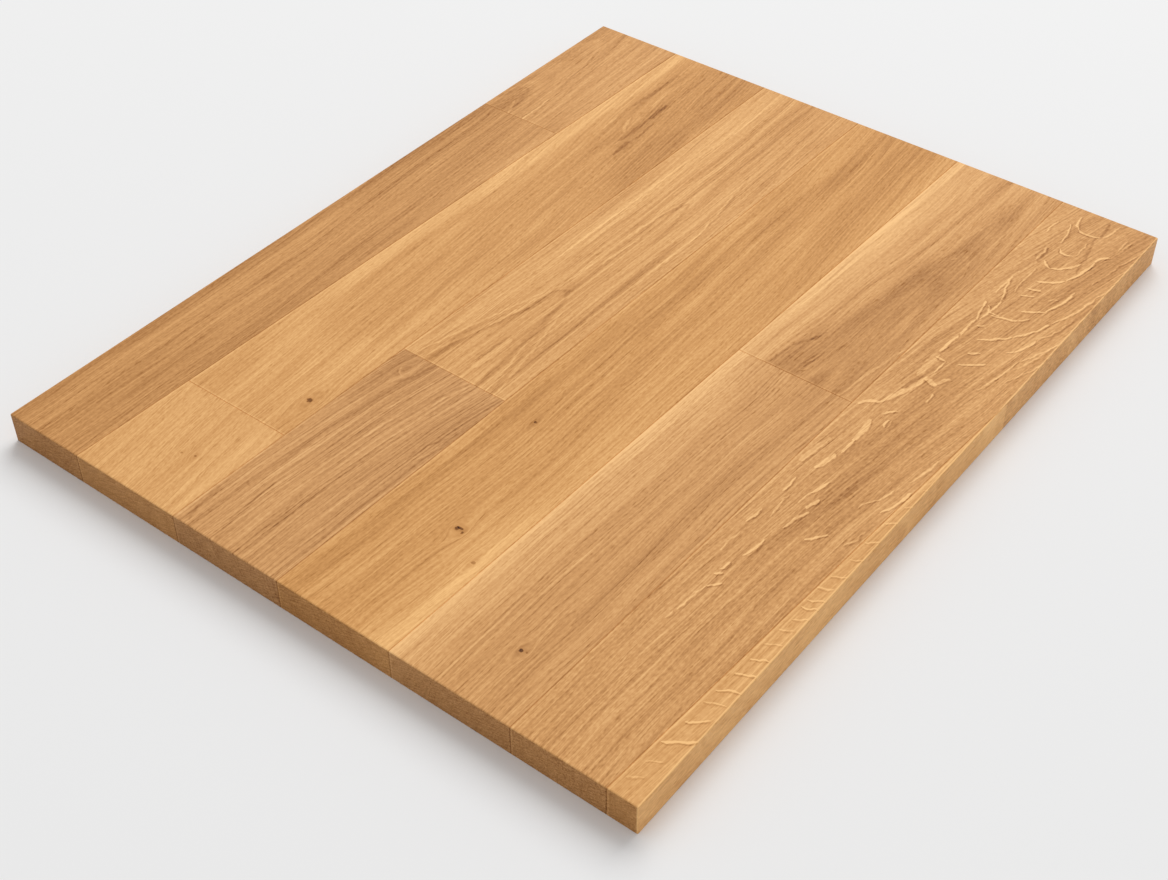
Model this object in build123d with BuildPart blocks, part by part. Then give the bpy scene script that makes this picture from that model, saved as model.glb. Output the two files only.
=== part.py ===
"""Oak parquet panel.

Square-edged oak staves are laid in rows with staggered end joints and glued edge to edge.
The glued lay-up is then sawn to a rectangle, a little off the run of the staves, and its arrises are eased.
A thin tapered strip closes the right-hand side, where the last row runs out of true with the saw cut.
"""

import os
from math import radians, tan

from build123d import *

# Driving dimensions, in millimetres and degrees: X across the staves, Y along them, Z up.
# The origin is the middle of the underside, and the near end is at the lowest Y.
PANEL_LENGTH = 500.0
THICKNESS = 18.0
STAVE_WIDTH = 70.0  # of a whole stave, measured across the panel
FIRST_ROW_WIDTH = 56.0  # what the left-hand saw cut leaves of row 1, at mid-length
LAST_ROW_WIDTH = 64.0  # the last row there, from its left joint to the right-hand saw cut
LAY_ANGLE = 1.0  # the staves lean this far to +X, away from the panel's long sides
END_JOINTS = (376.0, 74.0, 162.0, None, 270.0, None)  # row by row, from the near end; None has no end joint
WEDGE_BUTT = 16.5  # closing strip: its width at the near end
WEDGE_LENGTH = 318.0  # closing strip: from the near end to its point on the right-hand side
ARRIS_RADIUS = 0.8  # easing of the sawn panel's top edges and corners
JOINT_BEVEL = 0.3  # micro-bevel on both staves along every joint in the face

# Places that follow from the dimensions above.
ROWS = len(END_JOINTS)
PANEL_WIDTH = FIRST_ROW_WIDTH + (ROWS - 2) * STAVE_WIDTH + LAST_ROW_WIDTH
HALF_WIDTH = PANEL_WIDTH / 2
HALF_LENGTH = PANEL_LENGTH / 2
LEAN = tan(radians(LAY_ANGLE))
FIRST_JOINT = FIRST_ROW_WIDTH - HALF_WIDTH
WEDGE_TAPER = WEDGE_BUTT / WEDGE_LENGTH
OVERSHOOT = STAVE_WIDTH  # how far cutting solids and uncut staves reach past the sawn outline
UNCUT_WIDTH = HALF_WIDTH + OVERSHOOT
UNCUT_LENGTH = HALF_LENGTH + OVERSHOOT


def joint_x(joint, y):
    """Place across the panel of a long joint at y. Joint 1 is on the right of row 1."""
    return FIRST_JOINT + (joint - 1) * STAVE_WIDTH + LEAN * y


def wedge_x(y):
    """Place across the panel of the closing strip's joint at y."""
    return HALF_WIDTH - WEDGE_BUTT + WEDGE_TAPER * (y + HALF_LENGTH)


def row_sides(row, y):
    """Places across the panel of a row's two sides at y. The outer rows reach past the saw cuts."""
    left = joint_x(row - 1, y) if row > 1 else -UNCUT_WIDTH
    right = joint_x(row, y) if row < ROWS else UNCUT_WIDTH
    return left, right


def bevel_groove(start, end):
    """The V that the two micro-bevels of a joint leave in the face, along a line from start to end."""
    run = Vector(*end, THICKNESS) - Vector(*start, THICKNESS)
    section = Plane(origin=(*start, THICKNESS), x_dir=run.cross(Vector(0, 0, 1)), z_dir=run)
    with BuildPart() as groove:
        with BuildSketch(section):
            with BuildLine():
                Polyline(
                    (-2 * JOINT_BEVEL, -JOINT_BEVEL),
                    (0, JOINT_BEVEL),
                    (2 * JOINT_BEVEL, -JOINT_BEVEL),
                    close=True,
                )
            make_face()
        extrude(amount=run.length)
    return groove.part


def long_groove(joint):
    """The bevels of a long joint, past both ends of the panel."""
    start = (joint_x(joint, -UNCUT_LENGTH), -UNCUT_LENGTH)
    end = (joint_x(joint, UNCUT_LENGTH), UNCUT_LENGTH)
    return bevel_groove(start, end)


def end_groove(row, y):
    """The bevels of an end joint, across its own row."""
    left, right = row_sides(row, y)
    return bevel_groove((left, y), (right, y))


# The sawn rectangle, with its top edges and upright corners eased.
with BuildPart() as sawn_panel:
    Box(PANEL_WIDTH, PANEL_LENGTH, THICKNESS, align=(Align.CENTER, Align.CENTER, Align.MIN))
    fillet(sawn_panel.edges().filter_by(Axis.Z), radius=ARRIS_RADIUS)
    fillet(sawn_panel.edges().group_by(Axis.Z)[-1], radius=ARRIS_RADIUS)

# The closing strip before sawing: all that lies to the right of its joint.
WEDGE_NEAR = -UNCUT_LENGTH
WEDGE_FAR = WEDGE_LENGTH - HALF_LENGTH + OVERSHOOT / WEDGE_TAPER
with BuildPart() as uncut_wedge:
    with BuildSketch():
        with BuildLine():
            Polyline(
                (wedge_x(WEDGE_NEAR), WEDGE_NEAR),
                (UNCUT_WIDTH, WEDGE_NEAR),
                (wedge_x(WEDGE_FAR), WEDGE_FAR),
                close=True,
            )
        make_face()
    extrude(amount=THICKNESS)

wedge_groove = bevel_groove((wedge_x(WEDGE_NEAR), WEDGE_NEAR), (wedge_x(WEDGE_FAR), WEDGE_FAR))


def stave(row, near, far):
    """One stave of a row, from near to far along the panel, sawn and beveled."""
    near_left, near_right = row_sides(row, near)
    far_left, far_right = row_sides(row, far)
    with BuildPart() as piece:
        with BuildSketch():
            with BuildLine():
                Polyline(
                    (near_left, near),
                    (near_right, near),
                    (far_right, far),
                    (far_left, far),
                    close=True,
                )
            make_face()
        extrude(amount=THICKNESS)
        add(uncut_wedge.part, mode=Mode.SUBTRACT)
        add(sawn_panel.part, mode=Mode.INTERSECT)
        for joint in range(max(row - 1, 1), min(row, ROWS - 1) + 1):
            add(long_groove(joint), mode=Mode.SUBTRACT)
        for y in (near, far):
            add(end_groove(row, y), mode=Mode.SUBTRACT)
        add(wedge_groove, mode=Mode.SUBTRACT)
    return piece.part


os.makedirs("parts", exist_ok=True)


def write(part, name):
    """Labels a finished piece and writes it to its own file."""
    part.label = name
    export_step(part, f"parts/{name}.step")


# Each row is one full-length stave, or a near and a far one that meet at the row's end joint.
for row, end_joint in enumerate(END_JOINTS, start=1):
    if end_joint is None or end_joint >= PANEL_LENGTH:
        write(stave(row, -UNCUT_LENGTH, UNCUT_LENGTH), f"stave_{row}")
    else:
        meeting = end_joint - HALF_LENGTH
        write(stave(row, -UNCUT_LENGTH, meeting), f"stave_{row}_near")
        write(stave(row, meeting, UNCUT_LENGTH), f"stave_{row}_far")

with BuildPart() as closing_wedge:
    add(uncut_wedge.part)
    add(sawn_panel.part, mode=Mode.INTERSECT)
    add(wedge_groove, mode=Mode.SUBTRACT)
write(closing_wedge.part, "closing_wedge")
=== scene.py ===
"""Oak parquet panel: the figure and finish of every stave, on a pale studio floor."""

from dataclasses import dataclass
from math import atan, cos, radians

import bpy
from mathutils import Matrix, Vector


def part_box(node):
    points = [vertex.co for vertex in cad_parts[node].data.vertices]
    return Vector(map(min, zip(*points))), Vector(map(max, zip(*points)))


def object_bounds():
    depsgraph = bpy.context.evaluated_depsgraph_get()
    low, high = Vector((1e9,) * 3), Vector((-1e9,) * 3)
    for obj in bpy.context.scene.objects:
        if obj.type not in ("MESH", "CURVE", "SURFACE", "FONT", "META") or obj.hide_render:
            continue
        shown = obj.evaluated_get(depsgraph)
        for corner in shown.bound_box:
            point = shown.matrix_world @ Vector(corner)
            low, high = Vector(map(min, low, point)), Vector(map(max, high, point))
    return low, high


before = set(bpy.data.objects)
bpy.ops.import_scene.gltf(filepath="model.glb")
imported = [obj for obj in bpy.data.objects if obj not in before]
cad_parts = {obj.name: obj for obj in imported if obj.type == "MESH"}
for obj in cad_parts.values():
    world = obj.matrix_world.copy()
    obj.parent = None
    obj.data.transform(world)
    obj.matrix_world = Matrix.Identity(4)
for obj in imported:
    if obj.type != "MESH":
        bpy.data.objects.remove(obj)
cad_low, cad_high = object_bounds()

# The frame is in metres. The figure of the wood is set out in millimetres.
MILLIMETRE = 0.001
FAR_AWAY = 10000.0

# The lay of the staves, read from the frame.
row_2_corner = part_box("stave_2_near")[0]
row_3_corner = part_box("stave_3_near")[0]
row_3_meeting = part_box("stave_3_far")[0]
wedge_low, wedge_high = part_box("closing_wedge")
THICKNESS = (cad_high.z - cad_low.z) / MILLIMETRE
ROW_PITCH = row_3_corner.x - row_2_corner.x
STAVE_WIDTH = ROW_PITCH / MILLIMETRE
LEAN = (row_3_meeting.x - row_3_corner.x) / (row_3_meeting.y - row_3_corner.y)
LAY_ANGLE = atan(LEAN)
LAST_ROW = 6


def row_corner(row):
    """Place of a row's left joint at the near end, on the underside."""
    return (row_2_corner.x + (row - 2) * ROW_PITCH, cad_low.y, cad_low.z)


def span(node):
    """Where a piece starts and stops along the panel, in millimetres from the near end."""
    low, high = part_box(node)
    return (low.y - cad_low.y) / MILLIMETRE, (high.y - cad_low.y) / MILLIMETRE


WEDGE_ACROSS = (wedge_low.x - row_corner(LAST_ROW)[0]) / MILLIMETRE
WEDGE_TAPER = (cad_high.x - wedge_low.x) / (wedge_high.y - wedge_low.y) - LEAN

# Wood colours, linear. Tone is lightness against plain oak: -0.1 is a tenth darker.
PLAIN_OAK = (0.675, 0.339, 0.118, 1)
PALE_OAK = (0.98, 0.58, 0.24, 1)
DARK_OAK = (0.35, 0.138, 0.032, 1)
BURNT_OAK = (0.05, 0.013, 0.005, 1)
TONE_OF_PALE = 0.65
TONE_OF_DARK = -0.65
TONE_OF_BURNT = -1.0
END_TONE = -0.26  # of sawn end grain, which also loses some of its light
END_LIGHTNESS = 0.80
# Painted light: the side faces are painted lighter, as the lit right-hand side is.
SIDE_PAINTED_LIGHT = 0.14
SAW_TONE = 1.1
GLUE_TONE = -0.38
# Painted highlights: pale lines along the arrises of the joints and of the right-hand saw cut.
JOINT_HIGHLIGHT_TONE = 0.20
SAWN_EDGE_HIGHLIGHT_TONE = 0.62  # of the eased edge at the right-hand saw cut


@dataclass
class Streak:
    """A soft band of another tone, from near to far along the stave."""
    across: float
    half_width: float
    near: float
    far: float
    tone: float
    lean: float = 0.0
    waver: float = 1.0
    soft: float = 0.8  # share of the half width over which a side fades


@dataclass
class Knot:
    """A pin knot, which the grain flows round."""
    across: float
    along: float
    radius: float
    tone: float = -0.62


@dataclass
class Fleck:
    """A curved stroke from near to far, each across and along. Its bulge is to the right of that way."""
    near: tuple
    far: tuple
    bulge: float = 0.0
    width: float = 1.1
    tone: float = 0.62


@dataclass
class Stave:
    """How one stave was cut. Across is from its row's left joint, along from the panel's near end."""
    node: str
    row: int
    tone: float
    saturation: float = 1.0
    lean: float = 0.0  # of the grain against the stave, at mid-length
    curve: float = 0.0  # how fast that lean grows along the stave
    pith_across: float = 0.0
    pith_depth: float = 100.0  # below the face, at mid-length
    pith_dip: float = 0.0  # how fast that depth grows along the stave
    ring_width: float = 2.4
    ring_tone: float = -0.08
    ring_waver: float = 1.2
    dash_tone: float = 0.80
    line_tone: float = 1.10
    band_tone: float = 0.18
    pore_tone: float = -0.26
    mottle_tone: float = 0.48
    streaks: tuple = ()
    knots: tuple = ()
    flecks: tuple = ()


STAVES = (
    Stave(
        "stave_1_near", 1, -0.155, saturation=0.984, lean=-0.055, curve=-0.00016, pith_across=150,
        pith_depth=60, ring_width=3.6, line_tone=0.9,
        streaks=(
            Streak(12.8, 11, -60, 700, -0.16, lean=-0.0175, waver=0.6),
            Streak(21, 6, -60, 150, -0.08),
            Streak(42, 7, -80, 110, -0.08),
            Streak(52, 5, -60, 300, -0.05),
            Streak(67, 4, 60, 250, -0.06),
            Streak(69, 7, 270, 460, 0.18),
        ),
    ),
    Stave(
        "stave_1_far", 1, -0.07, saturation=0.983, lean=-0.04, pith_across=21.5, pith_depth=28,
        pith_dip=0.077, ring_width=3.4, ring_tone=-0.06, line_tone=1.3,
        streaks=(
            Streak(10.5, 9, 360, 640, -0.12, lean=-0.0175, waver=0.6),
            Streak(62, 13, 370, 640, 0.10),
            Streak(22.5, 9, 345, 415, -0.20, waver=0.4, soft=0.7),
        ),
        flecks=(
            Fleck((41.4, 376), (28, 472), 2.6, 1.8, -0.22),
            Fleck((42.4, 376), (39.4, 416), 0.4, 1.3, 0.30),
            Fleck((32, 380), (21.5, 408), 1.2, 3.6, -0.20),
            Fleck((13, 386), (20.5, 408), -0.8, 3.2, -0.16),
            Fleck((30.5, 377), (24.3, 391), 0.5, 1.6, 0.20),
            Fleck((18.5, 378), (23.8, 391), -0.4, 1.4, 0.14),
            Fleck((47, 380), (43, 440), 0.6, 1.2, 0.12),
        ),
    ),
    Stave(
        "stave_2_near", 2, 0.165, saturation=0.997, lean=-0.17, pith_across=20, pith_depth=120,
        ring_width=3.0, ring_tone=-0.04, line_tone=0.75,
        streaks=(Streak(67, 3.5, -30, 100, 0.10), Streak(60, 6, -60, 110, 0.09)),
        knots=(Knot(39.5, 34.2, 0.7, -0.45), Knot(46.7, 36.8, 0.7, -0.5)),
    ),
    Stave(
        "stave_2_far", 2, 0.015, lean=-0.10, curve=-0.0001, pith_across=-60, pith_depth=80,
        ring_width=3.0, ring_tone=-0.05, line_tone=0.8,
        streaks=(
            Streak(2.5, 9.5, 60, 640, 0.27, waver=0.5, soft=0.5),
            Streak(11, 9, 240, 480, 0.10),
            Streak(17, 8, 90, 290, 0.10),
            Streak(60, 20, 60, 270, 0.10, waver=2),
            Streak(32, 48, 20, 175, 0.13, waver=1.5),
            Streak(50, 36, 330, 680, -0.14, waver=2),
            Streak(62, 14, 335, 440, -0.13, waver=2),
            Streak(34.5, 6, 375, 455, -0.13, waver=0.5),
            Streak(20, 6, 415, 500, -0.11, waver=0.5),
        ),
        knots=(Knot(60.9, 102.4, 1.8),),
        flecks=(
            Fleck((17.4, 430), (18.6, 479), 0.6, 2.6, -0.24),
            Fleck((22.4, 457), (22.8, 489), 0.2, 1.8, -0.20),
            Fleck((34.6, 424), (34.0, 445), 0.3, 2.4, -0.36),
            Fleck((35.3, 393), (34.4, 422), 0.5, 2.4, -0.30),
            Fleck((41.9, 395), (40.2, 423), 0.2, 1.8, -0.24),
            Fleck((42.6, 379), (40.8, 397), -0.3, 3.0, -0.36),
            Fleck((34.2, 455), (34.3, 487), 0.2, 1.6, -0.18),
            Fleck((29.2, 423), (27.2, 439), 0.6, 2.2, -0.22),
            Fleck((52.8, 447), (52.4, 485), 0.2, 1.5, -0.18),
            Fleck((31.5, 403), (24.5, 420), -0.8, 2.2, 0.22),
            Fleck((18.8, 396), (17.8, 414), 0.2, 1.4, 0.18),
            Fleck((37.8, 424), (37.4, 470), 0.2, 1.3, 0.14),
            Fleck((26.4, 440), (26.2, 486), 0.2, 1.3, 0.14),
        ),
    ),
    Stave(
        "stave_3_near", 3, -0.075, saturation=0.968, lean=0.03, curve=0.0008, pith_across=-60,
        pith_depth=30, pith_dip=-0.05, ring_width=2.6, ring_tone=-0.28, ring_waver=2.0, line_tone=1.25,
        streaks=(Streak(14, 20, 100, 200, -0.10, waver=2),),
        knots=(Knot(12.5, 148, 1.2, -0.15),),
        flecks=(
            Fleck((27, 2), (21.5, 48), -1.0, 1.6, -0.20),
            Fleck((45, 3), (41.6, 58), 0.2, 1.6, -0.22),
            Fleck((41.6, 58), (44.5, 110), -0.4, 1.4, -0.18),
            Fleck((17, 80), (18.2, 124), 0.2, 1.6, -0.18),
            Fleck((14.5, 56), (14.2, 73), 0.3, 1.8, -0.18),
            Fleck((14.2, 73), (18, 81), -0.3, 1.4, -0.18),
            Fleck((24.4, 83), (25.6, 93), 0.2, 1.6, -0.16),
            Fleck((42, 134), (47.6, 163), -1.4, 1.8, -0.26),
            Fleck((43.8, 136), (49.2, 163), -1.2, 1.2, 0.22),
            Fleck((46.6, 128), (51.5, 161), -0.8, 1.4, -0.18),
            Fleck((25.6, 117), (31.8, 152), 0.2, 1.2, 0.22),
            Fleck((32.2, 97), (35.8, 125), -0.4, 1.2, 0.22),
            Fleck((19.6, 148), (23, 163), 0.4, 1.8, -0.24),
            Fleck((14, 138), (19.8, 149), 1.0, 2.4, -0.22),
            Fleck((9, 150), (14.5, 145.5), 0.8, 1.1, 0.22),
            Fleck((60.8, 98), (66.8, 124), -2.0, 1.4, -0.22),
            Fleck((65.2, 102), (67.4, 120), 0.2, 1.4, 0.22),
            Fleck((61, 124), (62.2, 162), 0.5, 1.4, -0.18),
            Fleck((3.2, 14), (1.8, 36), 0.2, 1.6, -0.18),
            Fleck((8.5, 3), (3.4, 15), -0.5, 1.6, -0.20),
            Fleck((10, 40), (14, 37.5), 0.4, 1.4, -0.20),
        ),
    ),
    Stave(
        "stave_3_far", 3, 0.10, saturation=0.995, lean=-0.02, curve=-0.0002, pith_across=-60,
        pith_depth=50, ring_width=1.8, ring_tone=-0.10, line_tone=1.2,
        streaks=(
            Streak(13, 10, 120, 600, 0.10, waver=0.6),
            Streak(38, 15, 350, 660, -0.15, waver=2),
            Streak(37, 5, 240, 330, -0.06),
            Streak(59, 6, 160, 340, -0.13),
            Streak(35.6, 5, 246, 268, -0.16, waver=0.3),
        ),
        flecks=(
            Fleck((15.8, 161), (30, 232), -1.2, 3.4, -0.27),
            Fleck((29.6, 226), (32.2, 254), 0.4, 2.8, -0.24),
            Fleck((31.6, 251), (39.8, 249), -5.0, 3.4, -0.20),
            Fleck((51.2, 161), (40.2, 252), 1.0, 3.2, -0.27),
            Fleck((22, 204), (30.4, 266), 1.4, 1.8, 0.22),
            Fleck((6.6, 162), (27.4, 247), -0.6, 1.6, 0.22),
            Fleck((9.5, 162), (28.4, 238), -0.6, 1.8, -0.15),
            Fleck((12, 162), (25, 214), -0.4, 1.4, 0.18),
            Fleck((63, 162), (45.4, 242), 0.6, 1.6, 0.18),
            Fleck((60.5, 162), (44.6, 232), 0.6, 1.7, -0.15),
            Fleck((57, 162), (47.5, 210), 0.4, 1.4, 0.18),
            Fleck((30.4, 262), (31.6, 285), 0.2, 1.4, 0.22),
            Fleck((59.6, 190), (58, 335), 0.3, 2.2, -0.12),
            Fleck((38.5, 172), (39.5, 205), 0.8, 5.0, 0.18),
            Fleck((36.6, 178), (37.2, 204), 0.2, 1.4, -0.26),
            Fleck((35.8, 286), (37.4, 321), 0.2, 1.7, 0.28),
            Fleck((33.4, 292), (34.0, 345), 0.3, 2.2, -0.24),
            Fleck((34.0, 341), (40.0, 366), -0.8, 2.4, -0.26),
            Fleck((40.0, 365), (47.5, 318), -1.2, 2.0, -0.18),
            Fleck((29.5, 318), (34.8, 364), -0.8, 1.8, -0.14),
            Fleck((31.6, 318), (36.8, 372), -0.9, 1.3, 0.16),
            Fleck((6, 163), (9.6, 225), -0.4, 1.4, 0.16),
            Fleck((10, 224), (10.6, 276), 0.2, 1.3, 0.18),
            Fleck((12.2, 274), (12.4, 339), 0.2, 1.4, 0.22),
            Fleck((24, 262), (26, 325), -0.3, 1.8, -0.14),
            Fleck((55, 311), (55.6, 331), 0.2, 1.4, -0.20),
            Fleck((55, 299), (56, 313), 0.2, 1.2, 0.20),
            Fleck((61.4, 240), (62.6, 330), 0.3, 1.4, 0.16),
            Fleck((12, 338), (11.2, 432), 0.3, 1.7, 0.20),
            Fleck((14.6, 330), (13.4, 386), 0.2, 1.4, 0.16),
            Fleck((19.2, 326), (18.4, 392), 0.2, 1.2, 0.14),
            Fleck((16.4, 400), (15.6, 484), 0.2, 1.2, 0.14),
            Fleck((26.8, 366), (28.2, 395), 0.2, 1.4, 0.16),
            Fleck((35.4, 419), (34.6, 449), 0.2, 1.2, 0.14),
            Fleck((36.5, 450), (37.5, 492), 0.2, 1.4, -0.14),
            Fleck((63.5, 336), (50.4, 412), 1.8, 1.5, -0.18),
            Fleck((63, 332), (54.3, 389), 0.7, 1.2, 0.24),
            Fleck((66, 392), (61, 446), 0.6, 1.4, 0.16),
            Fleck((62, 396), (55, 452), 0.8, 1.4, -0.14),
            Fleck((53.6, 456), (51, 482), 0.3, 1.2, -0.16),
        ),
    ),
    Stave(
        "stave_4", 4, 0.01, saturation=1.01, lean=-0.04, curve=-0.0003, pith_across=-60, pith_depth=50,
        ring_width=3.2, line_tone=0.8,
        streaks=(
            Streak(10.5, 6, -80, 270, -0.15),
            Streak(17, 6, 200, 450, -0.16),
            Streak(22, 7, 360, 620, -0.12),
            Streak(40, 30, 360, 660, -0.09, waver=2),
            Streak(72, 20, -250, 170, 0.30),
            Streak(62, 26, -200, 330, 0.12, waver=2),
            Streak(69, 5, 300, 620, 0.08),
            Streak(3, 5, 180, 620, 0.06),
        ),
        knots=(
            Knot(42.4, 77.8, 1.3),
            Knot(44.9, 76.9, 0.9),
            Knot(43.9, 78.9, 0.7),
            Knot(22.9, 159.3, 0.9, -0.5),
            Knot(63.5, 65.7, 1.1, -0.55),
        ),
    ),
    Stave(
        "stave_5_near", 5, 0.03, saturation=0.98, curve=0.0002, pith_across=150, pith_depth=60,
        ring_width=1.8, ring_tone=-0.14, line_tone=1.0,
        streaks=(
            Streak(1, 8, -200, 560, 0.22),
            Streak(8, 22, -200, 520, 0.13),
            Streak(56, 26, -200, 520, -0.10),
            Streak(53, 5, 10, 125, -0.05),
            Streak(36, 32, 225, 330, -0.06),
        ),
        knots=(Knot(45.9, 37.2, 1.1, -0.68), Knot(47.4, 37.8, 0.6, -0.4)),
        flecks=(
            Fleck((47.8, 58), (49.8, 71), -0.8, 1.2, -0.16),
            Fleck((55.5, 55), (50.5, 71), 0.6, 1.2, 0.12),
            Fleck((64.5, 183.4), (70, 182.3), 0.2, 0.9, 0.20),
            Fleck((7.8, 158), (6.3, 264), -0.6, 1.4, 0.22),
            Fleck((13.2, 182), (11.4, 264), 0.5, 1.2, 0.18),
        ),
    ),
    Stave(
        "stave_5_far", 5, 0.02, saturation=0.984, curve=-0.0003, pith_across=50, pith_depth=29.4,
        pith_dip=0.05, ring_width=2.6, ring_tone=-0.10, line_tone=1.15,
        streaks=(
            Streak(0, 9, 200, 700, 0.22),
            Streak(8, 24, 230, 680, 0.14),
            Streak(7, 12, 180, 520, 0.14),
            Streak(67, 9, 240, 680, -0.15),
            Streak(34, 6, 395, 600, -0.14),
            Streak(39, 26, 170, 345, -0.29, lean=0.08, waver=0.4, soft=0.35),
            Streak(44, 18, 300, 415, -0.27, lean=0.06, waver=0.5, soft=0.6),
            Streak(51.5, 8, 385, 480, -0.14, lean=0.03, waver=0.5, soft=0.6),
            Streak(52.5, 5, 445, 510, -0.14, waver=0.5),
            Streak(58, 8, 310, 400, -0.10),
        ),
        flecks=(
            Fleck((16.6, 268), (20, 290), 0.3, 1.7, -0.24),
            Fleck((20, 290), (28.8, 312), 0.4, 1.9, -0.26),
            Fleck((25.3, 300), (27.6, 308), 0.2, 2.4, -0.20),
            Fleck((32.5, 280), (34.5, 293), 0.2, 1.5, -0.22),
            Fleck((34.5, 279), (36.8, 298), 0.3, 1.2, -0.22),
            Fleck((40.8, 302), (41.6, 309), 0.2, 1.6, -0.20),
            Fleck((33.5, 283), (36, 294), 0.2, 1.0, 0.22),
            Fleck((34, 276.5), (37.5, 280.5), 0.2, 1.2, 0.22),
            Fleck((61.8, 271), (68.8, 325), -0.6, 1.7, 0.26),
            Fleck((46.8, 409.5), (49.2, 413.2), 0.2, 1.2, 0.20),
            Fleck((42, 372), (39.2, 330), 0.4, 1.4, -0.12),
            Fleck((43.8, 430), (49.3, 459), -0.6, 1.4, 0.12),
        ),
    ),
    Stave(
        "stave_6", 6, -0.01, saturation=0.985, lean=0.09, curve=0.0005, pith_across=-150, pith_depth=9,
        ring_width=2.6, ring_tone=-0.06, dash_tone=1.05, line_tone=0.85, mottle_tone=0.7,
        streaks=(
            Streak(5, 12, 150, 700, 0.08),
            Streak(33, 17, 120, 370, -0.14, waver=2),
            Streak(50, 12, 380, 680, -0.12),
        ),
        flecks=(
            Fleck((14.3, 295), (17.6, 312), 0.4, 4.0, -0.30),
            Fleck((27.5, 420), (29, 448), 0.3, 1.4, -0.20),
            Fleck((33.5, 396), (35.5, 424), 0.4, 1.4, -0.20),
            Fleck((23.5, 384), (25.5, 402), 0.2, 1.4, -0.20),
            Fleck((41, 404), (43.5, 436), 0.8, 1.4, -0.18),
            Fleck((22, 346), (23.5, 366), 0.2, 1.3, -0.20),
            Fleck((46, 400), (51.5, 430), 0.8, 1.3, -0.18),
            Fleck((24, 466), (25, 478), 0.2, 1.4, -0.20),
            Fleck((20.5, 479), (16, 492), -1.2, 1.2),
            Fleck((20.5, 479), (34, 481), 2.2, 1.5),
            Fleck((6.5, 466), (6.8, 481), 0.0, 1.1, 0.39),
            Fleck((18, 461), (14.5, 482), 0.8, 1.1),
            Fleck((20, 457), (30.5, 455), 3.2, 1.5),
            Fleck((30.5, 455), (29.5, 471), 0.8, 1.0, 0.39),
            Fleck((25, 436), (19, 441), -1.0, 1.4),
            Fleck((25, 436), (37, 451), 2.0, 1.5),
            Fleck((24, 421), (37, 430.5), 1.6, 1.8),
            Fleck((37, 430.5), (42, 457), 1.5, 1.5),
            Fleck((42, 457), (46.5, 466), -0.8, 1.6),
            Fleck((23.5, 412), (31.5, 414.5), 0.6, 1.4),
            Fleck((24, 404), (30.5, 408), 0.3, 1.2),
            Fleck((31, 391), (41.5, 399), 0.4, 1.5),
            Fleck((41.5, 399), (46.5, 425), 1.5, 1.4),
            Fleck((38, 408), (42.5, 412.5), -1.0, 1.4, 0.39),
            Fleck((20, 378), (34, 383), 0.6, 1.8),
            Fleck((34, 383), (38.5, 388), 0.4, 1.1),
            Fleck((18.5, 380), (23.5, 380.3), 0.2, 1.1),
            Fleck((24.5, 354.5), (38, 368.5), 1.0, 1.6),
            Fleck((38, 368.5), (49, 391), 1.8, 1.6),
            Fleck((49, 391), (58, 427), 1.5, 1.4, 0.43),
            Fleck((42, 354), (50, 374), 1.8, 1.4),
            Fleck((50, 374), (57.5, 402), 1.2, 1.1, 0.39),
            Fleck((52, 344), (59, 374), 1.5, 1.1, 0.29),
            Fleck((45.9, 322), (50.8, 352), 0.8, 1.2, 0.39),
            Fleck((50.8, 352), (61.6, 382), 1.0, 1.2, 0.39),
            Fleck((53, 332), (61.8, 360), 0.8, 1.1, 0.34),
            Fleck((58, 427), (61, 446), 0.3, 1.3, 0.39),
            Fleck((50, 436), (54, 462), 0.6, 1.2, 0.34),
            Fleck((46.5, 466), (50.5, 486), 0.6, 1.2, 0.34),
            Fleck((20, 404), (19, 431), -0.6, 1.1, 0.43),
            Fleck((18.5, 394), (12.5, 413), -0.5, 1.2),
            Fleck((17, 371), (18, 394), 0.8, 1.4),
            Fleck((16, 370), (11.5, 388), -0.5, 1.4),
            Fleck((17.5, 380), (15, 385.5), 0.0, 1.0),
            Fleck((16, 352.5), (15.5, 370), -0.8, 1.6),
            Fleck((14.5, 334), (15.3, 352), -0.5, 1.9),
            Fleck((18.5, 365.5), (22.5, 367.3), 0.2, 1.1),
            Fleck((26, 342), (32.5, 346), 0.2, 1.6),
            Fleck((27, 330.5), (38.5, 340), 1.0, 1.6),
            Fleck((16.3, 309), (14.2, 333), -0.6, 4.4, 0.26),
            Fleck((14.5, 328.7), (21, 329), 0.2, 1.2),
            Fleck((20.8, 317), (20.8, 329), 0.3, 1.1),
            Fleck((3.2, 271), (11.3, 279.6), -1.6, 2.4, 0.50),
            Fleck((11, 279), (20, 312.5), 1.0, 3.0, 0.46),
            Fleck((20, 310), (27.5, 307.5), -0.4, 4.2, 0.45),
            Fleck((26, 307.5), (31, 317.5), -1.2, 1.9, 0.45),
            Fleck((29.3, 293.5), (29.2, 302), 0.2, 1.2),
            Fleck((44.7, 317), (49, 334), 0.6, 1.1, 0.39),
            Fleck((17, 272), (21.8, 278.5), -0.6, 1.5),
            Fleck((22.5, 263.5), (22.3, 270.5), -0.8, 1.4),
            Fleck((24, 264), (23.6, 270.5), 0.6, 1.0, 0.39),
            Fleck((16.6, 245), (14.4, 265), 0.6, 3.0, 0.50),
            Fleck((16.6, 234), (16.6, 247), 0.3, 1.5),
            Fleck((3.3, 216), (6.8, 241), -0.3, 3.6, 0.33),
            Fleck((12, 216.5), (14.7, 232), 0.6, 2.6, 0.50),
            Fleck((54, 209.5), (58.6, 231), 1.2, 1.5),
            Fleck((44.8, 210.5), (51.5, 228), 1.2, 1.1, 0.43),
            Fleck((43.7, 206), (45, 211), -0.5, 1.0, 0.39),
            Fleck((54, 236), (57.5, 259), 0.8, 1.1, 0.39),
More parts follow.
